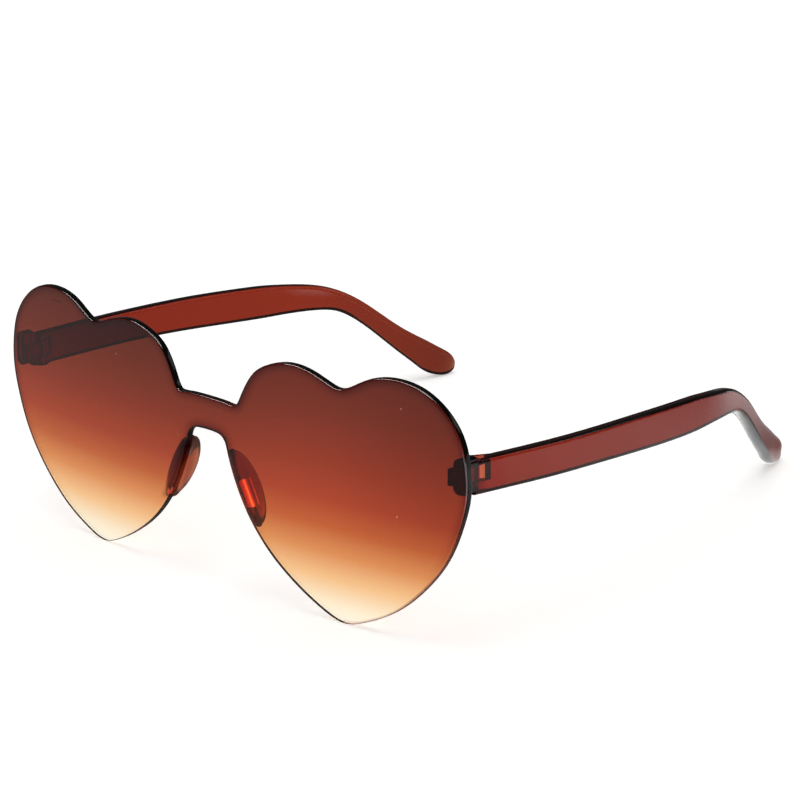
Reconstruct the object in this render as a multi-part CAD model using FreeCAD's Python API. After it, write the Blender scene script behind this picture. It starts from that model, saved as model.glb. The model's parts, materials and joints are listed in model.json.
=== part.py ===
import FreeCAD, Part
import math
import os
from FreeCAD import Vector

# Heart-shaped one-piece sunglasses, in millimetres.
# The pieces are drawn in the lens frame: x to the wearer's left, y to the back, z up,
# with the front of the lens at the origin. At the end everything is stood on the floor.

# Lens sheet: two hearts and the bridge between them, cut from one spherical shell
HEART_WIDTH = 66.5
HEART_GAP = 11.1
HEART_RISE = 28.3
HEART_DROP = 29.0
LENS_RADIUS = 470.0
LENS_THICKNESS = 1.8
RIM_ROUND = 0.45
BRIDGE_TOP = 13.95
BRIDGE_CROWN = 0.4
BRIDGE_BOTTOM = 6.3
NOSE_CROWN = 0.5
BRIDGE_CORNER_ROUND = 1.2
NOSE_ARCH_ROUND = 3.0

# One heart from the bridge's top corner round to the nose arch: sideways from the heart's
# middle in half widths, upwards in rises and downwards in drops
BRIDGE_CORNER_SHARE = -0.894
NOSE_CORNER_SHARE = -1.004
HEART_SHARES = [
    (-0.824, 0.645), (-0.725, 0.805), (-0.580, 0.898), (-0.410, 0.938), (-0.231, 0.911),
    (-0.090, 0.855), (0.0, 0.834), (0.084, 0.866), (0.216, 0.947), (0.440, 1.0),
    (0.650, 0.960), (0.832, 0.827), (0.946, 0.645), (0.994, 0.424), (0.997, 0.222),
    (0.952, 0.0), (0.844, -0.290), (0.656, -0.570), (0.392, -0.823), (0.165, -0.952),
    (0.0, -1.0), (-0.170, -0.943), (-0.395, -0.800), (-0.660, -0.556), (-0.855, -0.246),
    (-0.949, 0.0),
]

# Hinge: a tongue on the lens turns in the slotted end of the temple, on an upright screw
HINGE_HEIGHT = 10.1
HINGE_INSET = 4.3
PIN_STANDOFF = 4.8
KNUCKLE_RADIUS = 1.5
TONGUE_RADIUS = 1.4
TONGUE_HEIGHT = 3.6
TONGUE_DROP = 0.5
SLOT_RUN_OUT = 1.8
BLOCK_HEIGHT = 7.8
BLOCK_WIDTH = 3.5
BLOCK_CORNER_ROUND = 1.4
SCREW_RADIUS = 0.6
SCREW_HEAD_RADIUS = 1.05
SCREW_HEAD_HEIGHT = 0.45
SCREW_SLOT_WIDTH = 0.3
SCREW_SLOT_DEPTH = 0.25
SCREW_FOOT_GAP = 0.4

# Clearances
GLUE_GAP = 0.04
FOLD_GAP = 0.15
TONGUE_GAP = 0.1
SLOT_GAP = 0.25
RUNNING_GAP = 0.05
SEAT_GAP = 0.02

# Temple: an arm that bows in towards the head and drops to the ear
TEMPLE_REACH = 126.0
TEMPLE_FALL = 31.6
TEMPLE_CURL = 15.0
TEMPLE_THICKNESS = 3.0
ARM_EDGE_ROUND = 0.9
EAR_EDGE_ROUND = 1.35
ARM_INSET = 1.4
ARM_HEIGHT_FRONT = 7.7
ARM_HEIGHT = 8.25
ARM_DROP = 0.9
EAR_HEIGHT = 5.45
TIP_LENGTH = 10.2
FLARE_LENGTH = 5.0
FORK_STEP = 0.3

# Stations along the temple's middle line: back in reaches, down in falls, inwards in curls,
# and the height there in arm heights or ear heights
ARM_SHARES = [
    (0.080, 0.046, -0.070, 0.938), (0.161, 0.061, -0.125, 0.943), (0.280, 0.083, -0.150, 0.950),
    (0.398, 0.110, -0.115, 0.987), (0.509, 0.142, -0.033, 1.000), (0.588, 0.164, 0.058, 0.956),
    (0.643, 0.183, 0.147, 0.854), (0.687, 0.205, 0.245, 0.772),
]
EAR_SHARES = [
    (0.738, 0.262, 0.375, 0.960), (0.778, 0.354, 0.478, 0.900), (0.829, 0.522, 0.630, 0.920),
    (0.881, 0.700, 0.790, 1.090), (0.918, 0.813, 0.900, 1.270),
]
# The ear tip past the last station: onwards in tip lengths, upwards in ear heights, and the
# share of the last height and of the thickness that is left
TIP_SHARES = [
    (0.35, 0.00, 1.05, 1.00), (0.62, 0.09, 0.98, 0.98), (0.82, 0.20, 0.82, 0.90), (0.94, 0.30, 0.57, 0.72),
    (1.00, 0.36, 0.30, 0.44),
]

# Nose pads: half-egg cushions along the nose edge of each heart
PAD_LENGTH = 18.0
PAD_WIDTH = 4.8
PAD_DEPTH = 4.5
PAD_TILT = 27.0
PAD_HEIGHT = -4.6
PAD_OVERHANG = 1.2

# Room for cuts to run past a surface
OVERRUN = 3.0

# How near two places count as one
SAME_PLACE = 0.02

# Steps in which the lean of the standing glasses is worked out
FLOOR_SETTLING = 4

# Even sections along a temple's arm
ARM_SECTIONS = 22

X_AXIS = Vector(1, 0, 0)
Y_AXIS = Vector(0, 1, 0)
Z_AXIS = Vector(0, 0, 1)
HEART_SPACING = HEART_WIDTH + HEART_GAP
LENS_HALF_WIDTH = HEART_SPACING / 2 + HEART_WIDTH / 2
BACK_RADIUS = LENS_RADIUS - LENS_THICKNESS


def curve_through(points):
    """A smooth edge through the points."""
    curve = Part.BSplineCurve()
    curve.interpolate(points)
    return curve.toShape()


def ball(radius):
    """A ball about the centre that both faces of the lens share."""
    return Part.makeSphere(radius, Vector(0, LENS_RADIUS, 0))


def depth_of(radius, across, up):
    """How far back a lens face of that radius lies at one place."""
    return LENS_RADIUS - math.sqrt(radius ** 2 - across ** 2 - up ** 2)


def heart_points():
    """The left heart's outline, from the bridge's top corner to the nose arch."""
    half = HEART_WIDTH / 2
    places = [(BRIDGE_CORNER_SHARE * half, BRIDGE_TOP)]
    for across_share, up_share in HEART_SHARES:
        height = HEART_RISE if up_share > 0 else HEART_DROP
        places.append((across_share * half, up_share * height))
    places.append((NOSE_CORNER_SHARE * half, BRIDGE_BOTTOM))
    return [Vector(HEART_SPACING / 2 + across, 0, up) for across, up in places]


def front_lens():
    left = heart_points()
    right = [Vector(-p.x, 0, p.z) for p in left]
    outline = Part.Wire([
        Part.Arc(right[0], Vector(0, 0, BRIDGE_TOP + BRIDGE_CROWN), left[0]).toShape(),
        curve_through(left),
        Part.Arc(left[-1], Vector(0, 0, BRIDGE_BOTTOM + NOSE_CROWN), right[-1]).toShape(),
        curve_through(right[::-1]),
    ])
    sag = depth_of(BACK_RADIUS, LENS_HALF_WIDTH, HEART_DROP)
    outline.translate(Vector(0, -OVERRUN, 0))
    block = Part.Face(outline).extrude(Vector(0, sag + 2 * OVERRUN, 0))
    for height, rounding in ((BRIDGE_TOP, BRIDGE_CORNER_ROUND), (BRIDGE_BOTTOM, NOSE_ARCH_ROUND)):
        corners = [e for e in block.Edges if is_corner(e, height)]
        block = block.makeFillet(rounding, corners)
    sheet = block.common(ball(LENS_RADIUS)).cut(ball(BACK_RADIUS))
    rims = [e for e in sheet.Edges if abs(e.tangentAt(e.FirstParameter).y) < math.sqrt(0.5)]
    return sheet.makeFillet(RIM_ROUND, rims)


def is_corner(edge, height):
    """An edge of the outline block that runs front to back at that height."""
    box = edge.BoundBox
    return box.XLength + box.ZLength < SAME_PLACE and abs(box.ZMin - height) < SAME_PLACE


def pin_place():
    """Where the hinge screw's axis crosses the hinge's middle height."""
    across = LENS_HALF_WIDTH - HINGE_INSET
    return Vector(across, depth_of(BACK_RADIUS, across, HINGE_HEIGHT) + PIN_STANDOFF, HINGE_HEIGHT)


def upright_cylinder(radius, low, high):
    """A cylinder on the screw's axis between two heights from the hinge's middle."""
    return Part.makeCylinder(radius, high - low, pin_place() + Vector(0, 0, low))


def hinge_block():
    pin = pin_place()
    rear = pin.y - KNUCKLE_RADIUS - FOLD_GAP
    plate = Part.makeBox(BLOCK_WIDTH, rear, BLOCK_HEIGHT, Vector(pin.x, 0, pin.z - BLOCK_HEIGHT / 2))
    upright = [e for e in plate.Edges if e.BoundBox.YLength > rear / 2]
    plate = plate.makeFillet(BLOCK_CORNER_ROUND, upright)
    low = -TONGUE_DROP - TONGUE_HEIGHT / 2
    root = Part.makeBox(2 * TONGUE_RADIUS, pin.y, TONGUE_HEIGHT,
                        Vector(pin.x - TONGUE_RADIUS, 0, pin.z + low))
    tongue = root.fuse(upright_cylinder(TONGUE_RADIUS, low, low + TONGUE_HEIGHT))
    bore = upright_cylinder(SCREW_RADIUS + RUNNING_GAP, low - OVERRUN, low + TONGUE_HEIGHT + OVERRUN)
    seated = plate.fuse(tongue).common(ball(BACK_RADIUS - GLUE_GAP))
    return seated.cut(bore).removeSplitter()


def temple_stations():
    """Middle line of the temple: the place, height, thickness and edge rounding at each station."""
    pin = pin_place()
    start = Vector(LENS_HALF_WIDTH - ARM_INSET - TEMPLE_THICKNESS / 2, pin.y - KNUCKLE_RADIUS,
                   pin.z - ARM_DROP)
    stations = [(start, ARM_HEIGHT_FRONT, TEMPLE_THICKNESS, ARM_EDGE_ROUND)]
    parts = ((ARM_SHARES, ARM_HEIGHT, ARM_EDGE_ROUND), (EAR_SHARES, EAR_HEIGHT, EAR_EDGE_ROUND))
    for shares, full_height, rounding in parts:
        for back, down, inwards, height_share in shares:
            place = Vector(start.x - inwards * TEMPLE_CURL, pin.y + back * TEMPLE_REACH,
                           pin.z - down * TEMPLE_FALL)
            stations.append((place, height_share * full_height, TEMPLE_THICKNESS, rounding))
    last, last_height, thickness, rounding = stations[-1]
    ahead = (last - stations[-2][0]).normalize()
    upwards = X_AXIS.cross(ahead).normalize()
    for onwards, rise, height_share, thickness_share in TIP_SHARES:
        place = last + ahead * (onwards * TIP_LENGTH) + upwards * (rise * EAR_HEIGHT)
        stations.append((place, height_share * last_height, thickness_share * thickness,
                         thickness_share * rounding))
    return stations


def rounded_section(place, ahead, height, thickness, rounding):
    """A rounded rectangle that stands across the temple's middle line."""
    outwards = ahead.cross(Z_AXIS).normalize()
    upwards = outwards.cross(ahead).normalize()
    flat_x = thickness / 2 - rounding
    flat_z = height / 2 - rounding
    diagonal = rounding * math.sqrt(0.5)
    edges = []
    joins = []
    for sign_x, sign_z in ((1, 1), (-1, 1), (-1, -1), (1, -1)):
        corner = place + outwards * (sign_x * flat_x) + upwards * (sign_z * flat_z)
        side = corner + outwards * (sign_x * rounding)
        middle = corner + outwards * (sign_x * diagonal) + upwards * (sign_z * diagonal)
        level = corner + upwards * (sign_z * rounding)
        joins.append((side, middle, level) if sign_x == sign_z else (level, middle, side))
    for i, (first, middle, second) in enumerate(joins):
        edges.append(Part.Arc(first, middle, second).toShape())
        edges.append(Part.LineSegment(second, joins[(i + 1) % len(joins)][0]).toShape())
    return Part.Wire(edges)


def temple_sections():
    """Even sections along the arm, then the ear tip's own stations."""
    stations = temple_stations()
    travel = [0]
    for (place, *size), (following, *next_size) in zip(stations, stations[1:]):
        travel.append(travel[-1] + (following - place).Length)
    line = Part.BSplineCurve()
    line.interpolate(Points=[place for place, *size in stations], Parameters=travel)
    sizes = Part.BSplineCurve()
    sizes.interpolate(Points=[Vector(*size) for place, *size in stations], Parameters=travel)
    tip_start = travel[-1 - len(TIP_SHARES)]
    stops = [i / ARM_SECTIONS * tip_start for i in range(1, ARM_SECTIONS)] + travel[-1 - len(TIP_SHARES):]
    start, *size = stations[0]
    sections = [rounded_section(start, Y_AXIS, *size)]
    for stop in stops:
        sections.append(rounded_section(line.value(stop), line.tangent(stop)[0], *sizes.value(stop)))
    return sections


def temple_blade():
    return Part.makeLoft(temple_sections(), True, False)


def temple_fork():
    """The temple's front end widens inwards to the knuckle round the screw."""
    stations = temple_stations()
    start, height, thickness, rounding = stations[0]
    pin = pin_place()
    low = start.z - height / 2 + FORK_STEP
    outer = start.x + thickness / 2 - FORK_STEP
    front = Vector(pin.x, start.y, low)
    side = Vector(pin.x - KNUCKLE_RADIUS, pin.y, low)
    back = Vector(pin.x, pin.y, low) + Vector(-1, 1, 0).normalize() * KNUCKLE_RADIUS
    corners = [back, Vector(start.x, pin.y + FLARE_LENGTH, low), Vector(outer, pin.y, low),
               Vector(outer, start.y, low), front]
    edges = [Part.LineSegment(p, q).toShape() for p, q in zip(corners, corners[1:])]
    outline = Part.Wire(edges + [Part.Arc(front, side, back).toShape()])
    return Part.Face(outline).extrude(Vector(0, 0, height - 2 * FORK_STEP))


def temple():
    half = TONGUE_HEIGHT / 2 + TONGUE_GAP
    reach = TONGUE_RADIUS + SLOT_GAP
    mouth = KNUCKLE_RADIUS + OVERRUN
    slot = Part.makeBox(2 * reach, mouth + reach + SLOT_RUN_OUT, 2 * half,
                        pin_place() - Vector(reach, mouth, TONGUE_DROP + half))
    top = screw_top()
    bore = upright_cylinder(SCREW_RADIUS + SEAT_GAP, screw_low() - SEAT_GAP, top + OVERRUN)
    head = upright_cylinder(SCREW_HEAD_RADIUS + SEAT_GAP, top - SCREW_HEAD_HEIGHT - SEAT_GAP, top + OVERRUN)
    return temple_blade().fuse(temple_fork()).cut(slot).cut(bore.fuse(head)).removeSplitter()


def screw_top():
    """Top of the screw's head, from the hinge's middle: level with the fork's top."""
    return ARM_HEIGHT_FRONT / 2 - ARM_DROP - FORK_STEP


def screw_low():
    """Foot of the screw, from the hinge's middle: short of the fork's underside."""
    return FORK_STEP + SCREW_FOOT_GAP - ARM_DROP - ARM_HEIGHT_FRONT / 2


def hinge_screw():
    top = screw_top()
    shank = upright_cylinder(SCREW_RADIUS, screw_low(), top)
    head = upright_cylinder(SCREW_HEAD_RADIUS, top - SCREW_HEAD_HEIGHT, top)
    pin = pin_place()
    slot = Part.makeBox(2 * SCREW_HEAD_RADIUS, SCREW_SLOT_WIDTH, SCREW_HEAD_HEIGHT,
                        pin + Vector(-SCREW_HEAD_RADIUS, -SCREW_SLOT_WIDTH / 2, top - SCREW_SLOT_DEPTH))
    return shank.fuse(head).cut(slot).removeSplitter()


def nose_edge(up):
    """How far from the middle the heart's nose edge lies at one height below the lens centre."""
    edge = curve_through(heart_points())
    level = Part.LineSegment(Vector(0, 0, up), Vector(HEART_SPACING / 2, 0, up)).toShape()
    return edge.distToShape(level)[1][0][0].x


def nose_pad():
    tilt = math.radians(PAD_TILT)
    across = nose_edge(PAD_HEIGHT) - PAD_OVERHANG + PAD_WIDTH / 2 / math.cos(tilt)
    seat = depth_of(BACK_RADIUS, across, PAD_HEIGHT)
    egg = Part.makeSphere(1)
    stretch = FreeCAD.Matrix()
    stretch.scale(PAD_WIDTH / 2, PAD_DEPTH, PAD_LENGTH / 2)
    egg = egg.transformGeometry(stretch)
    egg.rotate(Vector(0, 0, 0), Y_AXIS, -PAD_TILT)
    egg.translate(Vector(across, seat, PAD_HEIGHT))
    return egg.common(ball(BACK_RADIUS - GLUE_GAP))


def mirrored(shape):
    return shape.mirror(Vector(0, 0, 0), X_AXIS)


def lean_on_floor(lens, arm):
    """How far the glasses lean back until heart tips and ear tips reach the floor together."""
    lean = 0
    for settle in range(FLOOR_SETTLING):
        front, ear = lens.copy(), arm.copy()
        front.rotate(Vector(0, 0, 0), X_AXIS, -lean)
        ear.rotate(Vector(0, 0, 0), X_AXIS, -lean)
        front, ear = front.optimalBoundingBox(), ear.optimalBoundingBox()
        lean += math.degrees(math.atan2(ear.ZMin - front.ZMin, ear.YMax - front.YMin))
    return lean


def stand_on_floor(shapes):
    """Lean the pieces back, set them on the floor and centre them front to back."""
    lean = lean_on_floor(shapes["front_lens"], shapes["temple_left"])
    for shape in shapes.values():
        shape.rotate(Vector(0, 0, 0), X_AXIS, -lean)
    box = Part.makeCompound(list(shapes.values())).optimalBoundingBox()
    move = Vector(0, -(box.YMin + box.YMax) / 2, -box.ZMin)
    for shape in shapes.values():
        shape.translate(move)
    return lean, move


left = {"nose_pad": nose_pad(), "hinge_block": hinge_block(), "temple": temple(), "hinge_screw": hinge_screw()}
shapes = {"front_lens": front_lens()}
for name, shape in left.items():
    shapes[name + "_left"] = shape
    shapes[name + "_right"] = mirrored(shape)
lean, move = stand_on_floor(shapes)
os.makedirs("parts", exist_ok=True)
for name, shape in shapes.items():
    shape.exportStep("parts/" + name + ".step")
    print(name, len(shape.Solids), shape.isValid(), round(shape.Volume, 2))
print("lean", lean, "move", move, "pin", pin_place())
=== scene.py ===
# %% [markdown]
# The glasses come as solids: one bent sheet with two hearts, two nose pads, two hinge blocks, two temples
# and two screws. They could all be modelled again, but then nothing would hold them to the joints. So the
# solids are loaded as a fixed frame, in metres, and the looks are built on them.

# %% The fixed frame
import json
import math

import bmesh
import bpy
from mathutils import Color, Matrix, Vector


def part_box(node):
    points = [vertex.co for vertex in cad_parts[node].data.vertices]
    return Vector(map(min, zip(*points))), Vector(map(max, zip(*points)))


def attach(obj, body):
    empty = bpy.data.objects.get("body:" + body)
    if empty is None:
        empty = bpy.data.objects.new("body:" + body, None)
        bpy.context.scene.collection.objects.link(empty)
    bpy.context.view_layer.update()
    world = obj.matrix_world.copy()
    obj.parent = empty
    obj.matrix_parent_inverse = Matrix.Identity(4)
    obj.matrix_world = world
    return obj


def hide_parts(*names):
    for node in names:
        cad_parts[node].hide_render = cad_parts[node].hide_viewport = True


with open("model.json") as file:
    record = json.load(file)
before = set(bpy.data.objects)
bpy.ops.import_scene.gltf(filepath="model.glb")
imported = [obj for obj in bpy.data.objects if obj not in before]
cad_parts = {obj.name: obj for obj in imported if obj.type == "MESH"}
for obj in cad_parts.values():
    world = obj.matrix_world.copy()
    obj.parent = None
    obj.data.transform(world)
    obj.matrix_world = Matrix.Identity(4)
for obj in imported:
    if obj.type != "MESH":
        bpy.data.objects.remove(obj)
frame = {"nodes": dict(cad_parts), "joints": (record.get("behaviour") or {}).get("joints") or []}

MM = 0.001
SIDES = ("left", "right")
scene = bpy.context.scene
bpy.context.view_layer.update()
nodes = frame["nodes"]

# %% [markdown]
# The front of the glasses leans back a little, because they stand on the heart tips and the ear tips.
# It is easier to place things on the lens in the lens's own frame, where its front touches the origin
# and up is up along the sheet. The hinge screw is parallel to that up, so the joint gives the lean,
# and the screw's known place on the lens gives the origin.

# %% The lens's own frame
LENS_RADIUS = 470 * MM
LENS_THICKNESS = 1.8 * MM
BACK_RADIUS = LENS_RADIUS - LENS_THICKNESS
HINGE_HEIGHT = 10.1 * MM
PIN_STANDOFF = 4.8 * MM


def depth_of(radius, across, up):
    """How far back a lens face of that radius lies at one place."""
    return LENS_RADIUS - math.sqrt(radius ** 2 - across ** 2 - up ** 2)


left_fold = next(joint for joint in frame["joints"] if joint["child"] == "left_arm")
pin = Vector(left_fold["pos_m"])
lean = math.atan2(left_fold["axis"][1], left_fold["axis"][2])
pin_depth = depth_of(BACK_RADIUS, pin.x, HINGE_HEIGHT) + PIN_STANDOFF
lean_turn = Matrix.Rotation(-lean, 4, "X")
lens_origin = pin - lean_turn @ Vector((pin.x, pin_depth, HINGE_HEIGHT))
to_row = Matrix.Translation(lens_origin) @ lean_turn
to_lens = to_row.inverted()
print("lean", round(math.degrees(lean), 3), "lens origin in mm", [round(v / MM, 3) for v in lens_origin])

# %% [markdown]
# The photograph looks at the front from its right, a little from above, with a long lens. The camera could
# be moved by eye until it fits. Here its turn, height and distance were found from the mirror symmetry of
# the two hearts, because that also gives the sizes.

# %% The camera
CAMERA_AZIMUTH = math.radians(43.92)
CAMERA_ELEVATION = math.radians(17.627)
CAMERA_ROLL = math.radians(-0.698)
CAMERA_EYE = Vector((490.57, -448.29, 223.79)) * MM
FOCAL_LENGTH = 144.0
SENSOR_WIDTH = 36.0

camera_data = bpy.data.cameras.new("camera")
camera_data.lens = FOCAL_LENGTH
camera_data.sensor_width = SENSOR_WIDTH
camera_data.clip_start = MM
camera = bpy.data.objects.new("camera", camera_data)
scene.collection.objects.link(camera)
aside_turn = Matrix.Rotation(CAMERA_AZIMUTH, 4, "Z")
down_turn = Matrix.Rotation(math.pi / 2 - CAMERA_ELEVATION, 4, "X")
roll_turn = Matrix.Rotation(CAMERA_ROLL, 4, "Z")
camera.matrix_world = to_row @ Matrix.Translation(CAMERA_EYE) @ aside_turn @ down_turn @ roll_turn
scene.camera = camera
scene.view_settings.view_transform = "Standard"
print("camera at", [round(v, 4) for v in camera.matrix_world.translation])

# %% [markdown]
# Every finish below is a graph of shader nodes. Writing the graph node by node hides what it means, so a
# small class wraps one socket: sums and products of sockets add their Math nodes, and one method makes
# any other node from its type, its settings and its inputs.

# %% Shader maths as sums
MIX_FIRST, MIX_SECOND, MIX_RESULT = 6, 7, 2     # the sockets of a Mix node that hold colours


class Socket:
    """One socket of a shader graph that can be added, multiplied and fed to other nodes."""

    def __init__(self, tree, link=None):
        self.tree = tree
        self.link = link

    def node(self, kind, settings=None, inputs=None, output=0):
        """Any node: its settings first, then the values or links of its sockets."""
        made = self.tree.nodes.new(kind)
        for name, value in (settings or {}).items():
            if name == "stops":
                set_stops(made.color_ramp, value)
            else:
                setattr(made, name, value)
        for name, value in (inputs or {}).items():
            self.feed(made.inputs[name], value)
        return Socket(self.tree, made.outputs[output] if made.outputs else None)

    def feed(self, socket, value):
        """Link or set one input."""
        if isinstance(value, Socket):
            self.tree.links.new(value.link, socket)
        else:
            socket.default_value = value

    def beside(self, output):
        """Another output of the node that this socket belongs to."""
        return Socket(self.tree, self.link.node.outputs[output])

    def math(self, operation, first, second=0.0):
        """A Math node on one or two values."""
        return self.node("ShaderNodeMath", {"operation": operation}, {0: first, 1: second})

    def __add__(self, other):
        return self.math("ADD", self, other)

    def __radd__(self, other):
        return self.math("ADD", other, self)

    def __sub__(self, other):
        return self.math("SUBTRACT", self, other)

    def __rsub__(self, other):
        return self.math("SUBTRACT", other, self)

    def __mul__(self, other):
        return self.math("MULTIPLY", self, other)

    def __rmul__(self, other):
        return self.math("MULTIPLY", other, self)

    def clamped(self, low, high):
        """This value spread over 0 to 1 between two limits."""
        return self.node("ShaderNodeMapRange", {"clamp": True},
                         {"Value": self, "From Min": low, "From Max": high})

    def mixed(self, first, second, blend="MIX"):
        """The first colour where this value is 0, blended with the second where it is 1."""
        return self.node("ShaderNodeMix", {"data_type": "RGBA", "blend_type": blend},
                         {"Factor": self, MIX_FIRST: first, MIX_SECOND: second}, MIX_RESULT)

    def dimmed(self, first, second):
        """The first colour, multiplied by the second one where this value is 1."""
        return self.mixed(first, second, "MULTIPLY")


def set_stops(ramp, stops):
    """Fill a colour ramp with (place, colour) stops."""
    for place, _ in stops[1:-1]:
        ramp.elements.new(place)
    for element, (place, colour) in zip(ramp.elements, stops):
        element.position = place
        element.color = colour


print("sockets know", sorted(name for name in vars(Socket) if not name.startswith("__")))

# %% [markdown]
# The studio is a white floor in a dark room. A bright room all round would be simpler, but what makes clear
# plastic look like plastic is contrast: a ray that goes straight through the lens meets the white floor, and
# one that is bent upwards at a rounded edge meets the dark room, so the edges draw themselves as black
# lines. Only light that has been scattered meets a bright room, which keeps the shadows soft.

# %% The dark room
ROOM_LIGHT = 0.45
ROOM_DARK = 0.05


def ray_kind(kit, kind):
    """How a ray came here, such as Is Camera Ray."""
    return kit.node("ShaderNodeLightPath", None, None, kind)


world = bpy.data.worlds.new("studio")
world.use_nodes = True
scene.world = world
room = Socket(world.node_tree)
camera_ray = ray_kind(room, "Is Camera Ray")
scattered = ray_kind(room, "Diffuse Depth").clamped(0, 1)
strength = camera_ray + scattered * ROOM_LIGHT + (1 - scattered) * (1 - camera_ray) * ROOM_DARK
background = world.node_tree.nodes["Background"]
background.inputs["Strength"].default_value = 1.0
room.feed(background.inputs["Color"], strength)
print("room light", ROOM_LIGHT, "dark", ROOM_DARK)

# %% [markdown]
# The floor keeps the soft shadows for the camera. Seen through the plastic it is plain white. A gloss sees
# it dim between the temples and brighter at the right. It is brightest under the near ear tip and in the
# front right corner, which draws the grey line along the near rim. White cards round the glasses could do
# the same, but they would have to be kept out of the picture.

# %% What the floor shows to a gloss
GLOSS_DIM = 0.14
# Each patch has its brightness, then where it fades in and out across the floor, then the same from front
# to back, in millimetres. None is a side without an end.
GLOSS_PATCHES = {
    "front": (0.085, None, None, None, (-90, -50)),
    "front left": (0.085, None, (-60, 30), None, (-90, -50)),
    "right": (0.285, (30, 90), None, (-60, 30), None),
    "middle right": (0.285, (30, 90), None, (-60, 30), (70, 110)),
    "behind the ear tip": (0.85, (30, 60), (70, 100), (80, 110), None),
    "under the ear tip": (1.9, (30, 45), (60, 75), (30, 50), (60, 75)),
    "front right corner": (2.5, (90, 120), None, None, (-90, -60)),
}


def object_place(kit):
    """The place on a piece, in metres, which stays with it when it moves."""
    return kit.node("ShaderNodeTexCoord", None, None, "Object")


def faded(value, fade_in, fade_out):
    """How much of a patch is left along one direction, as a list of factors from 0 to 1."""
    factors = []
    if fade_in:
        factors.append(value.clamped(fade_in[0] * MM, fade_in[1] * MM))
    if fade_out:
        factors.append(1 - value.clamped(fade_out[0] * MM, fade_out[1] * MM))
    return factors


def gloss_sheen(kit):
    """How bright the floor is to a ray that was mirrored."""
    across = kit.node("ShaderNodeSeparateXYZ", None, {0: object_place(kit)})
    back = across.beside("Y")
    sheen = GLOSS_DIM
    for bright, left_fade, right_fade, front_fade, back_fade in GLOSS_PATCHES.values():
        patch = bright
        for factor in faded(across, left_fade, right_fade) + faded(back, front_fade, back_fade):
            patch = patch * factor
        sheen = sheen + patch
    return sheen


print("gloss patches", list(GLOSS_PATCHES))

# %% [markdown]
# The floor itself is one large square. Its paint is pale and takes the shadows, and a little light of its
# own lifts it to white for the camera. It could be lit to white by stronger lamps, but those would also wash
# out the plastic.

# %% The floor
FLOOR_SIZE = 4.0
FLOOR_PALE = (0.93, 0.915, 0.89, 1)
CLEAR_WHITE = 1.06
FLOOR_GLOW = 0.47

bm = bmesh.new()
bmesh.ops.create_grid(bm, x_segments=1, y_segments=1, size=FLOOR_SIZE / 2)
floor_mesh = bpy.data.meshes.new("floor")
bm.to_mesh(floor_mesh)
bm.free()
floor = bpy.data.objects.new("floor", floor_mesh)
scene.collection.objects.link(floor)
floor_paint = bpy.data.materials.new("floor_paint")
floor_paint.use_nodes = True
floor_paint.node_tree.nodes.clear()
kit = Socket(floor_paint.node_tree)
camera_ray = ray_kind(kit, "Is Camera Ray")
clear_ray = ray_kind(kit, "Is Transmission Ray")
glossy_ray = ray_kind(kit, "Is Glossy Ray")
glow = FLOOR_GLOW * camera_ray + CLEAR_WHITE * clear_ray + (glossy_ray - clear_ray) * gloss_sheen(kit)
pale = kit.node("ShaderNodeBsdfDiffuse", None, {"Color": FLOOR_PALE})
bright = kit.node("ShaderNodeEmission", None, {"Color": glow, "Strength": 1.0})
lit = kit.node("ShaderNodeAddShader", None, {0: pale, 1: bright})
bent_ray = kit.math("MAXIMUM", glossy_ray, clear_ray)
shown = kit.node("ShaderNodeMixShader", None, {0: bent_ray, 1: lit, 2: bright})
kit.node("ShaderNodeOutputMaterial", None, {"Surface": shown})
floor_mesh.materials.append(floor_paint)
print("floor", FLOOR_SIZE, "m, nodes", len(floor_paint.node_tree.nodes))

# %% [markdown]
# The lamps are there for the rim. A long strip over the front draws the pale lines on the lobes, because
# each place of a rounded edge mirrors another part of the strip, and a small lamp behind greys the far
# edges. One small lamp would only give dots of light. These two only show in gloss. The floor is lit by the
# room and by a lamp overhead, which draws the thin shadow where the hearts stand.

# %% Soft lamps
LAMPS_AIM = Vector((0, 0, 0.03))
STRAIGHT_DOWN = Vector((0, 0, -1))


def soft_lamp(name, place, size, power, aimed=True, gloss_only=False):
    """A soft lamp that faces the glasses or straight down. It lights everything, or shows in gloss only."""
    data = bpy.data.lights.new(name, "AREA")
    data.shape = "RECTANGLE"
    data.size, data.size_y = size
    data.energy = power
    lamp = bpy.data.objects.new(name, data)
    ahead = LAMPS_AIM - Vector(place) if aimed else STRAIGHT_DOWN
    lamp.matrix_world = Matrix.LocRotScale(Vector(place), ahead.to_track_quat("-Z", "Y"), None)
    lamp.visible_diffuse = not gloss_only
    scene.collection.objects.link(lamp)
    return lamp


lamps = [
    soft_lamp("front_strip", place=(-0.22, -0.33, 0.52), size=(0.7, 0.22), power=5.0, aimed=False,
              gloss_only=True),
    soft_lamp("back_window", place=(0.38, 0.55, 0.44), size=(0.35, 0.2), power=0.12, gloss_only=True),
    soft_lamp("overhead", place=(0.06, -0.06, 1.8), size=(1.0, 1.0), power=8.0),
]
print("lamps", [lamp.name for lamp in lamps])

# %% [markdown]
# The lens is one sheet of tinted plastic, and its rim is what the eye reads first. Copying the solid's mesh
# would keep its uneven triangles, which break the reflections along the rim. So only one loop is taken
# from the solid: the border where its front face meets the rounded rim. That loop is drawn again in small
# even steps along a smooth curve.

# %% The border of the lens's front face
TOUCH = 0.002 * MM
RIM_STEP = 0.45 * MM
NEAREST = 0.3 * MM


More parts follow.
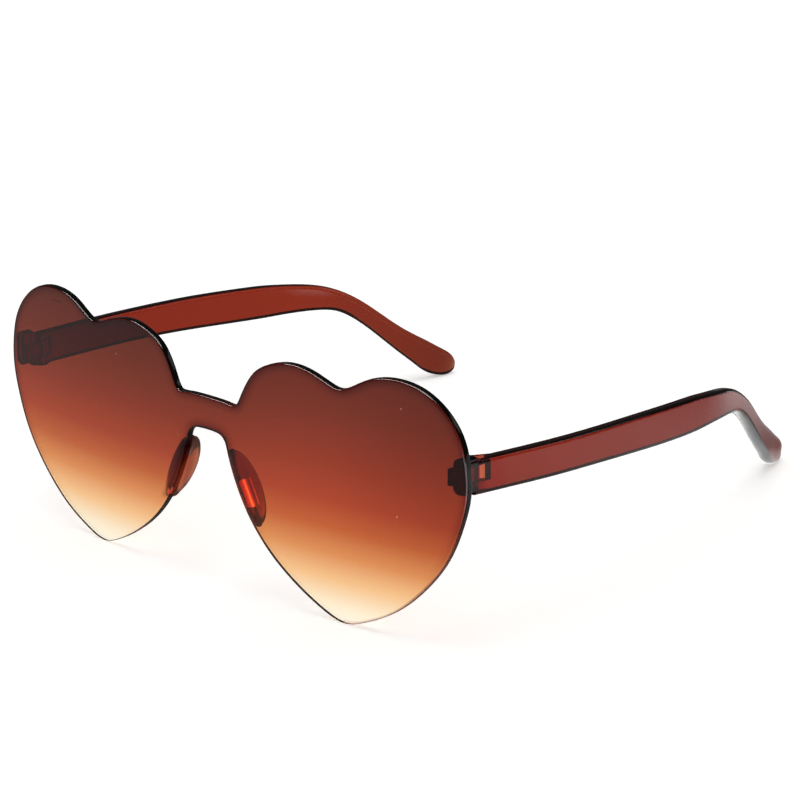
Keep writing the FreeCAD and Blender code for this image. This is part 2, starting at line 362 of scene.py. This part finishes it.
def front_border(mesh):
    """Places (across, up) in order along the border of the lens's front face."""
    bm = bmesh.new()
    bm.from_mesh(mesh)
    bmesh.ops.remove_doubles(bm, verts=bm.verts, dist=TOUCH)
    bmesh.ops.transform(bm, matrix=to_lens, verts=bm.verts)
    centre = Vector((0, LENS_RADIUS, 0))
    on_front = {v for v in bm.verts if abs((v.co - centre).length - LENS_RADIUS) < TOUCH}
    patch = {face for face in bm.faces if all(v in on_front for v in face.verts)}
    beside = {}
    for edge in bm.edges:
        if sum(face in patch for face in edge.link_faces) == 1:
            for vert in edge.verts:
                beside.setdefault(vert, []).append(edge.other_vert(vert))
    start = next(iter(beside))
    loop = [start, beside[start][0]]
    while loop[-1] is not start:
        loop.append(next(v for v in beside[loop[-1]] if v is not loop[-2]))
    places = [Vector((v.co.x, v.co.z)) for v in loop[:-1]]
    bm.free()
    kept = places[:1]
    for place in places[1:]:
        if (place - kept[-1]).length > NEAREST and (place - kept[0]).length > NEAREST:
            kept.append(place)
    return kept


def even_curve(places, step):
    """A closed smooth curve through the places, as places about one step apart."""
    count = len(places)
    gaps = [(places[(i + 1) % count] - places[i]).length for i in range(count)]
    slopes = []
    for i in range(count):
        into = (places[i] - places[i - 1]) / gaps[i - 1]
        out = (places[(i + 1) % count] - places[i]) / gaps[i]
        slopes.append((into * gaps[i] + out * gaps[i - 1]) / (gaps[i] + gaps[i - 1]))
    made = []
    for i in range(count):
        start, end, length = places[i], places[(i + 1) % count], gaps[i]
        leave, arrive = slopes[i] * length, slopes[(i + 1) % count] * length
        parts = max(1, round(length / step))
        for t in (k / parts for k in range(parts)):
            made.append(start * (2 * t ** 3 - 3 * t ** 2 + 1) + leave * (t ** 3 - 2 * t ** 2 + t)
                        + end * (3 * t ** 2 - 2 * t ** 3) + arrive * (t ** 3 - t ** 2))
    return made


rough_border = front_border(nodes["front_lens"].data)
border = even_curve(rough_border, RIM_STEP)
print("border", len(rough_border), "places, drawn again with", len(border))

# %% [markdown]
# The polished edge of the sheet looks black where it mirrors the dark room. Beside the pads, and along the
# lower right of the near heart, it looks clear in the photograph. One finish for the whole rim would miss
# that, so each place of the rim gets a value called bare, which the finish reads later.

# %% Where the rim is clear
BARE_SIDE = 38 * MM       # the near heart's right edge starts this far across
BARE_TOP = 2 * MM         # it starts to clear below this height on the lens
BARE_FADE = 16 * MM       # and this much lower it is as clear as it gets
BARE_TIPS = 0.45          # which is this clear
BARE_REACH = 9 * MM       # a pad clears the rim within this distance across
BARE_NEAR_PAD = 0.3
BARE_FAR_PAD = 0.85
BARE_PAD_FADE = 0.15      # the share of a pad's half height over which that fades out


def pad_place(side):
    """The middle of a pad across and up the lens, in the lens frame, and which way is outwards."""
    low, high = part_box("nose_pad_" + side)
    middle = to_lens @ ((low + high) / 2)
    return Vector((middle.x, 0, middle.z)), (1 if side == "left" else -1)


def limited(share):
    """A share kept between 0 and 1."""
    return min(1, max(0, share))


def pad_share(place):
    """How far the rim is clear beside the pads, which are moulded to it."""
    if abs(abs(place.x) - pad_middle.x) > BARE_REACH:
        return 0.0
    most = BARE_NEAR_PAD if place.x > 0 else BARE_FAR_PAD
    return most * limited((1 - abs(place.z - pad_middle.z) / pad_half) / BARE_PAD_FADE)


def bareness(place):
    """How clear the rim is: beside the pads and along the near heart's lower right edge."""
    if place.x < BARE_SIDE:
        return pad_share(place)
    # Along the near heart's lower right edge the clear rim is painted light, standing in for the floor it
    # mirrors there.
    return BARE_TIPS * limited((BARE_TOP - place.z) / BARE_FADE)


pad_low, pad_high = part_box("nose_pad_left")
pad_half = (pad_high.z - pad_low.z) / 2
pad_middle = pad_place("left")[0]
print("pad middle in mm", [round(v / MM, 2) for v in pad_middle], "half height", round(pad_half / MM, 2))

# %% [markdown]
# The sheet could be cut out of a hollow ball, but that would leave the same uneven triangles. So it is made
# flat. The border is filled for the front face, then its edges are pushed out again and again along the
# rounded section of the rim, and the last loop is filled for the back face. Rings are inset along the rim,
# each a step further in, and a value called edge goes from 1 on the rim to 0 at the last ring, so the
# finish can paint shade on the border. Both faces are cut into an even grid, which the next helpers do.

# %% The rim's section, its rings and the grid
RIM_ROUND = 0.45 * MM
RIM_SEGMENTS = 5
RIM_RINGS = [0.25 * MM, 0.4 * MM, 0.6 * MM, 0.75 * MM]
GRID_STEP = 3 * MM


def rim_section():
    """The rim's rounded section as steps (outwards, back) from the front face's border."""
    turns = [k / RIM_SEGMENTS * math.pi / 2 for k in range(1, RIM_SEGMENTS + 1)]
    front = [(RIM_ROUND * math.sin(turn), RIM_ROUND * (1 - math.cos(turn))) for turn in turns]
    back = [(out, LENS_THICKNESS - depth) for out, depth in reversed(front)]
    return front + back + [(0, LENS_THICKNESS)]


def outward_normals(places):
    """At each place of a closed loop, the direction that leads out of it."""
    count = len(places)
    area = sum(places[i - 1].x * places[i].y - places[i].x * places[i - 1].y for i in range(count))
    sign = 1 if area > 0 else -1
    along = [places[(i + 1) % count] - places[i - 1] for i in range(count)]
    return [Vector((a.y, -a.x)).normalized() * sign for a in along]


def ring_and_grid(bm, cap, edge_layer):
    """Inset rings along the border of one flat face, then cut the rest into a grid."""
    for step, width in enumerate(RIM_RINGS):
        bmesh.ops.inset_region(bm, faces=[cap], thickness=width, use_even_offset=True, use_boundary=True)
        for vert in cap.verts:
            vert[edge_layer] = 1 - (step + 1) / len(RIM_RINGS)
    inside = [cap]
    for axis in (0, 2):
        normal = Vector((0, 0, 0))
        normal[axis] = 1
        places = [v.co[axis] for face in inside for v in face.verts]
        low, high = min(places), max(places)
        for step in range(1, int((high - low) / GRID_STEP) + 1):
            parts = set(inside)
            for face in inside:
                parts.update(face.edges, face.verts)
            cut_place = normal * (low + step * GRID_STEP)
            cut = bmesh.ops.bisect_plane(bm, geom=list(parts), plane_co=cut_place, plane_no=normal,
                                         dist=TOUCH)
            inside = [g for g in cut["geom"] if isinstance(g, bmesh.types.BMFace)]
    return len(inside)


print("steps round the rim", len(rim_section()), "rings", len(RIM_RINGS))

# %% [markdown]
# Every new piece ends in the same way: its faces are turned outwards, it becomes an object and it rides one
# of the bodies. One helper does this and counts the open edges, because a hole in a clear piece shows at
# once as a wrong bend of the light.

# %% From a bmesh to a piece
def finished_piece(name, bm, body, replaced=None):
    """Turn a bmesh into an object that rides a body, shaded smooth."""
    bmesh.ops.recalc_face_normals(bm, faces=bm.faces)
    open_edges = sum(1 for e in bm.edges if not e.is_manifold)
    mesh = bpy.data.meshes.new(name)
    bm.to_mesh(mesh)
    bm.free()
    mesh.shade_smooth()
    piece = bpy.data.objects.new(name, mesh)
    scene.collection.objects.link(piece)
    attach(piece, body)
    if replaced:
        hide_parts(replaced)
    print(name, "faces", len(mesh.polygons), "open edges", open_edges)
    return piece


# %% [markdown]
# Now the sheet is put together from these helpers. At the end each place is pushed back onto the ball of
# its own depth, which bends the flat sheet. Bending last is easier than drawing on a ball from the start.

# %% The lens sheet
bm = bmesh.new()
order = bm.verts.layers.int.new("order")
bare_layer = bm.verts.layers.float.new("bare")
ring = [bm.verts.new((place.x, 0, place.y)) for place in border]
for number, vert in enumerate(ring):
    vert[order] = number
edges = [bm.edges.new((a, b)) for a, b in zip(ring, ring[1:] + ring[:1])]
front_cap = bmesh.ops.edgeloop_fill(bm, edges=edges)["faces"][0]
outwards = outward_normals(border)
for out, depth in rim_section():
    pushed = bmesh.ops.extrude_edge_only(bm, edges=edges)["geom"]
    edges = [g for g in pushed if isinstance(g, bmesh.types.BMEdge)]
    for vert in (g for g in pushed if isinstance(g, bmesh.types.BMVert)):
        place = border[vert[order]] + outwards[vert[order]] * out
        vert.co = Vector((place.x, depth, place.y))
        vert[bare_layer] = bareness(vert.co)
back_cap = bmesh.ops.edgeloop_fill(bm, edges=edges)["faces"][0]
edge_layer = bm.verts.layers.float.new("edge")
for vert in bm.verts:
    vert[edge_layer] = 1.0
print("grid faces", [ring_and_grid(bm, cap, edge_layer) for cap in (front_cap, back_cap)])
for vert in bm.verts:
    if vert[edge_layer] < 1:
        vert[bare_layer] = pad_share(vert.co) * vert[edge_layer]
    vert.co.y = depth_of(LENS_RADIUS - vert.co.y, vert.co.x, vert.co.z)
bmesh.ops.transform(bm, matrix=to_row, verts=bm.verts)
lens = finished_piece("lens_sheet", bm, "front", "front_lens")

# %% [markdown]
# All the plastic on the glasses is clear and glossy, so its finishes share a few helpers: the clear shader,
# a soft noise, and measures of a place. A glass shader would be shorter, but the Principled one also takes
# a colour, a roughness and a normal that change over the surface.

# %% Helpers for the finishes
PLASTIC_IOR = 1.5
WHITE = (1, 1, 1, 1)
BLACK = (0, 0, 0, 1)
ACROSS = Vector((1, 0, 0))
BACK = Vector((0, 1, 0))
UP = Vector((0, 0, 1))


def finish(name):
    """A new finish: the material, its kit and its shader."""
    material = bpy.data.materials.new(name)
    material.use_nodes = True
    return material, Socket(material.node_tree), material.node_tree.nodes["Principled BSDF"]


def plastic(name):
    """A clear plastic: the material, its kit and its shader."""
    material, kit, shader = finish(name)
    shader.inputs["Transmission Weight"].default_value = 1.0
    shader.inputs["IOR"].default_value = PLASTIC_IOR
    shader.inputs["Roughness"].default_value = 0.0
    return material, kit, shader


def cloud(kit, place, scale, detail=3.0):
    """A soft noise from 0 to 1."""
    return kit.node("ShaderNodeTexNoise", None, {"Vector": place, "Scale": scale, "Detail": detail})


def drift(kit, place, scale, amount):
    """A soft noise about 0, at most half the amount to either side."""
    return (cloud(kit, place, scale) - 0.5) * amount


def measure(kit, operation, place, other):
    """A Vector Math node that gives one value, such as a distance."""
    return kit.node("ShaderNodeVectorMath", {"operation": operation}, {0: place, 1: other}, "Value")


def attribute(kit, name, output):
    """A value that the mesh carries at each place."""
    return kit.node("ShaderNodeAttribute", {"attribute_name": name}, None, output)


def shade(red, green, blue):
    """A colour given as it looks on a screen, from 0 to 255, as the light it stands for."""
    seen = Color((red / 255, green / 255, blue / 255))
    return (*seen.from_srgb_to_scene_linear(), 1.0)


print("dark brown is", [round(v, 4) for v in shade(123, 55, 41)])

# %% [markdown]
# The tint is dipped: dark red-brown at the top of the hearts, amber in the middle and almost clear at the
# tips. It could be painted as a picture, but a ramp over the height says the same in nine colours, on
# Object coordinates, so it stays with the sheet. A little cloudy change keeps it from looking drawn.

# %% The tint of the lens and its painted shade
LENS_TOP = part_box("front_lens")[1].z
TINT_STOPS = [
    (0.0, shade(255, 248, 228)), (3.4, shade(255, 238, 208)), (9.4, shade(246, 195, 140)),
    (15.4, shade(222, 143, 85)), (21.4, shade(193, 95, 50)), (27.4, shade(171, 66, 38)),
    (36.0, shade(146, 53, 32)), (47.0, shade(118, 43, 27)), (57.0, shade(98, 36, 24)),
]
TINT_CLOUD = 35.0
TINT_DRIFT = 0.012
RIM_PAINTED_SHADE = (0.36, 0.14, 0.12, 1)
RIM_SHADE_HEIGHTS = (14 * MM, 40 * MM)
FAR_PAINTED_SHADE = (0.78, 0.83, 0.78, 1)
FAR_FADE = (0, 25 * MM)
FAR_HEIGHTS = (14 * MM, 42 * MM)
NEAR_PAINTED_SHADE = (0.82, 0.8, 0.8, 1)
NEAR_FADE = (38 * MM, 66 * MM)
NEAR_HEIGHTS = (12 * MM, 28 * MM)

tinted, kit, shader = plastic("tinted_sheet")
place = object_place(kit)
across = measure(kit, "DOT_PRODUCT", place, ACROSS)
up = measure(kit, "DOT_PRODUCT", place, UP)
stops = [(height * MM / LENS_TOP, colour) for height, colour in TINT_STOPS]
height_share = up * (1 / LENS_TOP) + drift(kit, place, TINT_CLOUD, TINT_DRIFT)
tint_and_shade = kit.node("ShaderNodeValToRGB", {"stops": stops}, {0: height_share})
edge = attribute(kit, "edge", "Fac")
# Painted shade: a dark red band along the rim, stronger higher up the hearts.
tint_and_shade = (edge * up.clamped(*RIM_SHADE_HEIGHTS)).dimmed(tint_and_shade, RIM_PAINTED_SHADE)
# Painted shade: the far heart darker, more so higher up.
far_shade = (1 - across.clamped(*FAR_FADE)) * up.clamped(*FAR_HEIGHTS)
tint_and_shade = far_shade.dimmed(tint_and_shade, FAR_PAINTED_SHADE)
# Painted shade: the near heart's outer side darker from the middle up, where it mirrors less of the floor.
near_shade = across.clamped(*NEAR_FADE) * up.clamped(*NEAR_HEIGHTS)
tint_and_shade = near_shade.dimmed(tint_and_shade, NEAR_PAINTED_SHADE)
print("tint stops", len(TINT_STOPS), "up to", round(LENS_TOP / MM, 1), "mm")

# %% [markdown]
# Glasses gather dust and scratches. Three specks and one hair scratch are enough. They could be small
# pieces of their own, but they have no thickness, so they are spots in the finish. They lie on the front
# face only, because on both faces each would be seen twice.

# %% Specks and a scratch
SPECKS = [(-30.4, 46.8), (55.4, 51.4), (54.5, 27.8)]
SPECK_SIZE = 0.13 * MM
SCRATCH_FROM = Vector((-55.9, 0, 54.1)) * MM
SCRATCH_ALONG = Vector((0.999, 0, 0.05))
SCRATCH_ASIDE = Vector((-0.05, 0, 0.999))
SCRATCH_LENGTH = 5.7 * MM
SCRATCH_WIDTH = 0.09 * MM
SCRATCH_DIM = (0.2, 0.12, 0.12, 1)


def speck_at(across, height):
    """A round spot on the lens, from 0 to 1, at a place in millimetres."""
    away = measure(kit, "DISTANCE", flat, (across * MM, 0, height * MM))
    return (1 - away.clamped(SPECK_SIZE, 2 * SPECK_SIZE)) * on_front


flat = kit.node("ShaderNodeVectorMath", {"operation": "MULTIPLY"}, {0: place, 1: ACROSS + UP})
radius = measure(kit, "DISTANCE", place, to_row @ Vector((0, LENS_RADIUS, 0)))
on_front = radius.clamped(BACK_RADIUS + LENS_THICKNESS / 3, LENS_RADIUS - LENS_THICKNESS / 3)
speck = sum(speck_at(across, height) for across, height in SPECKS)
along = measure(kit, "DOT_PRODUCT", place, SCRATCH_ALONG) - SCRATCH_ALONG.dot(SCRATCH_FROM)
aside = measure(kit, "DOT_PRODUCT", place, SCRATCH_ASIDE) - SCRATCH_ASIDE.dot(SCRATCH_FROM)
line = 1 - kit.math("ABSOLUTE", aside).clamped(SCRATCH_WIDTH, 2 * SCRATCH_WIDTH)
scratch_start = along.clamped(0, SCRATCH_LENGTH / 4)
scratch_end = 1 - along.clamped(SCRATCH_LENGTH * 3 / 4, SCRATCH_LENGTH)
tint_and_shade = (line * on_front * scratch_start * scratch_end).dimmed(tint_and_shade, SCRATCH_DIM)
print("specks", len(SPECKS), "scratch in mm", round(SCRATCH_LENGTH / MM, 1))

# %% [markdown]
# The shader now takes the tint with its painted shade, and a roughness that is higher on the specks and
# the rim. Where the rim is clear, a see-through shader takes the place of the glossy one; along the near
# heart's lower right edge this is painted light from the floor. A second material on those faces could
# make the rim clear too, but it would end in a hard line.

# %% The lens finish
RIM_BLUR = 0.1
SPECK_BLUR = 0.5
SHEET_CLOUD = 900.0
SHEET_BLUR = 0.01
CLEAR_RIM = (0.75, 0.5, 0.45, 1)

kit.feed(shader.inputs["Base Color"], speck.mixed(tint_and_shade, WHITE))
blur = speck * SPECK_BLUR + edge * RIM_BLUR + cloud(kit, place, SHEET_CLOUD) * SHEET_BLUR
kit.feed(shader.inputs["Roughness"], blur)
bare = attribute(kit, "bare", "Fac")
# The see-through rim is partly painted light: along the near heart's lower right edge it stands in for the
# floor's reflection.
clear_rim = kit.node("ShaderNodeBsdfTransparent", None, {"Color": CLEAR_RIM})
sheet = Socket(tinted.node_tree, shader.outputs[0])
surface = kit.node("ShaderNodeMixShader", None, {0: bare, 1: sheet, 2: clear_rim})
kit.feed(tinted.node_tree.nodes["Material Output"].inputs["Surface"], surface)
lens.data.materials.append(tinted)
print("lens nodes", len(tinted.node_tree.nodes))

# %% [markdown]
# The temples, the hinge blocks and the pads are moulded from red-brown plastic that is coloured right
# through. Thin places look red and thick ones almost black. A colour on the surface would be the same
# everywhere, so the colour comes from the volume. The solids of the temples and the blocks have the right
# rounding already, so they are kept and only get the finish: a faint waviness of moulded plastic in the
# normal and a cloudy change in the gloss.

# %% The moulded plastic
MOULDED_DENSITY = 1400.0
MOULDED_COLOUR = (0.704, 0.195, 0.0, 1)
MOULDED_BLUR = 0.02
TIP_FADE = (25 * MM, 66 * MM)
TIP_DIM = (0.62, 0.9, 0.95, 1)
HINGE_FADE = (-50 * MM, -47 * MM)
HINGE_WARM = (1.0, 0.62, 0.42, 1)
WAVE_SCALE = 260.0
WAVE_DEPTH = 0.006 * MM
MILKY_SCALE = 70.0
MILKY = (0.94, 0.93, 0.92, 1)
BLUR_SCALE = 400.0
BLUR_CHANGE = 0.03


def moulded_plastic(name, density, colour, blur):
    """A plastic coloured right through, warm at the hinges and dim at the ear tips."""
    material, kit, shader = plastic(name)
    place = object_place(kit)
    waves = cloud(kit, place, WAVE_SCALE)
    wavy = kit.node("ShaderNodeBump", None, {"Height": waves, "Distance": WAVE_DEPTH})
    kit.feed(shader.inputs["Normal"], wavy)
    clear = cloud(kit, place, MILKY_SCALE).mixed(WHITE, MILKY)
    back = measure(kit, "DOT_PRODUCT", place, BACK)
    clear = (1 - back.clamped(*HINGE_FADE)).dimmed(clear, HINGE_WARM)
    kit.feed(shader.inputs["Base Color"], back.clamped(*TIP_FADE).dimmed(clear, TIP_DIM))
    kit.feed(shader.inputs["Roughness"], blur + cloud(kit, place, BLUR_SCALE) * BLUR_CHANGE)
    body = kit.node("ShaderNodeVolumeAbsorption", None, {"Color": colour, "Density": density})
    kit.feed(material.node_tree.nodes["Material Output"].inputs["Volume"], body)
    return material


def paint(node, material):
    """Give a solid one finish in place of its own."""
    node.data.materials.clear()
    node.data.materials.append(material)


moulded = moulded_plastic("moulded_plastic", MOULDED_DENSITY, MOULDED_COLOUR, MOULDED_BLUR)
for side in SIDES:
    for node in ("temple_", "hinge_block_"):
        paint(nodes[node + side], moulded)
print("moulded", moulded.name, "density", MOULDED_DENSITY)

# %% [markdown]
# Each nose pad is a clear cushion with a thin flange against the lens. It could be half of a stretched
# ball, but the flange is what draws the double line round the pad. So it is built up in steps from a disc:
# push the disc out for the flange, inset it, then push it out and shrink it step by step along an ellipse.

# %% The nose pads
PAD_LENGTH = 18.0 * MM
PAD_WIDTH = 4.8 * MM
PAD_DEPTH = 4.5 * MM
PAD_TILT = math.radians(27)
PAD_FLANGE = 0.5 * MM
PAD_INSET = 0.35 * MM
PAD_SEGMENTS = 64
PAD_STEPS = 12
PAD_GAP = 0.04 * MM
PAD_DENSITY = 500.0
PAD_COLOUR = (0.62, 0.17, 0.0, 1)
PAD_BLUR = 0.2
PAD_CLEAR = 0.93


def pad_turn(outwards):
    """From a flat drawing, with x outwards, y along the pad and z to the back, into the lens frame."""
    lie = Matrix(((1, 0, 0, 0), (0, 0, 1, 0), (0, 1, 0, 0), (0, 0, 0, 1)))
    return Matrix.Rotation(-outwards * PAD_TILT, 4, "Y") @ lie @ Matrix.Diagonal((outwards, 1, 1, 1))


def push_out(bm, face, height, shrink):
    """Push a face out to a height and shrink it about its middle."""
    face = bmesh.ops.extrude_discrete_faces(bm, faces=[face])["faces"][0]
    for vert in face.verts:
        vert.co = Vector((vert.co.x * shrink, vert.co.y * shrink, height))
    return face


def nose_pad(side):
    """One cushion on the lens's back face, in place of the solid."""
    middle, outwards = pad_place(side)
    bm = bmesh.new()
    bmesh.ops.create_circle(bm, cap_ends=True, segments=PAD_SEGMENTS, radius=1)
    bmesh.ops.scale(bm, vec=(PAD_WIDTH / 2, PAD_LENGTH / 2, 1), verts=bm.verts)
    dome = push_out(bm, bm.faces[:][0], PAD_FLANGE, 1)
    bmesh.ops.inset_region(bm, faces=[dome], thickness=PAD_INSET, use_even_offset=True)
    share = 1.0
    for step in range(1, PAD_STEPS):
        turn = step / PAD_STEPS * math.pi / 2
        height = PAD_FLANGE + (PAD_DEPTH - PAD_FLANGE) * math.sin(turn)
        dome = push_out(bm, dome, height, math.cos(turn) / share)
        share = math.cos(turn)
    bmesh.ops.poke(bm, faces=[dome])
    bmesh.ops.holes_fill(bm, edges=[e for e in bm.edges if e.is_boundary], sides=0)
    bmesh.ops.transform(bm, matrix=Matrix.Translation(middle) @ pad_turn(outwards), verts=bm.verts)
    for vert in bm.verts:
        vert.co.y += depth_of(BACK_RADIUS, vert.co.x, vert.co.z) + PAD_GAP
    bmesh.ops.transform(bm, matrix=to_row, verts=bm.verts)
    return finished_piece("nose_cushion_" + side, bm, "front", "nose_pad_" + side)


cushion = moulded_plastic("cushion_plastic", PAD_DENSITY, PAD_COLOUR, PAD_BLUR)
cushion.node_tree.nodes["Principled BSDF"].inputs["Transmission Weight"].default_value = PAD_CLEAR
for side in SIDES:
    nose_pad(side).data.materials.append(cushion)

# %% [markdown]
# In the photograph a red window shines in the near pad: a flat in the moulding that throws lamplight towards
# the camera. The far pad only shows a small spark at its foot. A lamp for each would be hard to aim through
# the lens, so each pad gets a painted highlight instead: a thin oblong plate that glows with a warm streak
# along it, a long one turned outwards in the near pad and a short one at the foot of the far pad.

# %% The painted highlight in the pads
GLOW_STRENGTH = 5.0
GLOW_STREAK = [(0.0, (0.22, 0.04, 0.04, 1)), (0.5, (0.4, 0.08, 0.09, 1)), (0.7, (1.0, 1.0, 0.8, 1)),
               (0.85, (0.4, 0.1, 0.1, 1)), (1.0, (0.25, 0.05, 0.05, 1))]
FLAT_DARK = shade(120, 30, 20)
FLAT_PALE = shade(150, 40, 25)
FLAT_BLUR = 0.3
FLAT_CLOUD = 3.0
STREAK_CLOUD = 4.0
STREAK_BEND = 0.5
FACING = (0.3, 0.5)

pad_highlight, kit, shader = finish("pad_flat")
flat_place = attribute(kit, "flat_place", "Vector")
bend = drift(kit, flat_place, STREAK_CLOUD, STREAK_BEND)
sideways = measure(kit, "DOT_PRODUCT", flat_place, ACROSS) + bend
facing = measure(kit, "DOT_PRODUCT", flat_place, UP).clamped(*FACING)
glow = kit.node("ShaderNodeValToRGB", {"stops": GLOW_STREAK}, {0: sideways.clamped(-1, 1)})
# The plate's glow is a painted highlight, not a lamp.
kit.feed(shader.inputs["Emission Color"], facing.mixed(BLACK, glow))
kit.feed(shader.inputs["Base Color"], cloud(kit, flat_place, FLAT_CLOUD).mixed(FLAT_DARK, FLAT_PALE))
shader.inputs["Emission Strength"].default_value = GLOW_STRENGTH
shader.inputs["Roughness"].default_value = FLAT_BLUR
print("streak stops", len(GLOW_STREAK), "strength", GLOW_STRENGTH)

# %% [markdown]
# The plate is a cube that is scaled flat and has its four corners rounded. A plane would do for one view,
# but a closed plate also looks right from behind. It carries its own places, which the streak reads,
# because the two plates are turned differently.

# %% The glowing plates in the pads
# Length and width, turn outwards in degrees, and place outwards, back and up from the pad's middle, in mm.
GLOW_PLATES = {
    "left": (6.0, 1.8, 45.0, (0.1, 1.0, -1.3)),
    "right": (1.6, 0.8, 0.0, (3.9, 1.0, -6.7)),
}
FLAT_THICKNESS = 0.12 * MM
FLAT_ROUND = 0.15


def pad_flat(side):
    """One glowing plate in a pad, a painted highlight."""
    middle, outwards = pad_place(side)
    length, width, degrees, (aside, depth, up) = GLOW_PLATES[side]
    bm = bmesh.new()
    bmesh.ops.create_cube(bm, size=1)
    layer = bm.verts.layers.float_vector.new("flat_place")
    for vert in bm.verts:
        vert[layer] = Vector((outwards * vert.co.x * 2, vert.co.z, 1.0 if vert.co.y < 0 else 0.0))
    bmesh.ops.scale(bm, vec=(width * MM, FLAT_THICKNESS, length * MM), verts=bm.verts)
    corners = [e for e in bm.edges if abs(e.verts[0].co.y - e.verts[1].co.y) > TOUCH]
    bmesh.ops.bevel(bm, geom=corners, offset=width * MM * FLAT_ROUND, offset_type="OFFSET", affect="EDGES",
                    segments=3, profile=0.5, material=-1)
    turn = Matrix.Rotation(outwards * math.radians(degrees), 4, "Z")
    tip = Matrix.Rotation(-outwards * PAD_TILT, 4, "Y")
    seat = depth_of(BACK_RADIUS, middle.x, middle.z) + depth * MM
    shift = Matrix.Translation(middle + Vector((outwards * aside * MM, seat, up * MM)))
    bmesh.ops.transform(bm, matrix=to_row @ shift @ tip @ turn, verts=bm.verts)
    return finished_piece("pad_flat_" + side, bm, "front")


for side in SIDES:
    pad_flat(side).data.materials.append(pad_highlight)

# %% [markdown]
# The screws are plain steel. They sit inside the plastic, so threads would never be seen, and a fine brushed
# change in colour and gloss is enough.

# %% The screws
STEEL_DARK = (0.42, 0.4, 0.38, 1)
STEEL_PALE = (0.6, 0.58, 0.56, 1)
STEEL_BLUR = 0.25
STEEL_BLUR_CHANGE = 0.2
GRAIN_SCALE = 2500.0

steel, kit, shader = finish("screw_steel")
grain = cloud(kit, object_place(kit), GRAIN_SCALE)
shader.inputs["Metallic"].default_value = 1.0
kit.feed(shader.inputs["Base Color"], grain.mixed(STEEL_DARK, STEEL_PALE))
kit.feed(shader.inputs["Roughness"], STEEL_BLUR + grain * STEEL_BLUR_CHANGE)
for side in SIDES:
    paint(nodes["hinge_screw_" + side], steel)
print("steel on", ["hinge_screw_" + side for side in SIDES])

# %% [markdown]
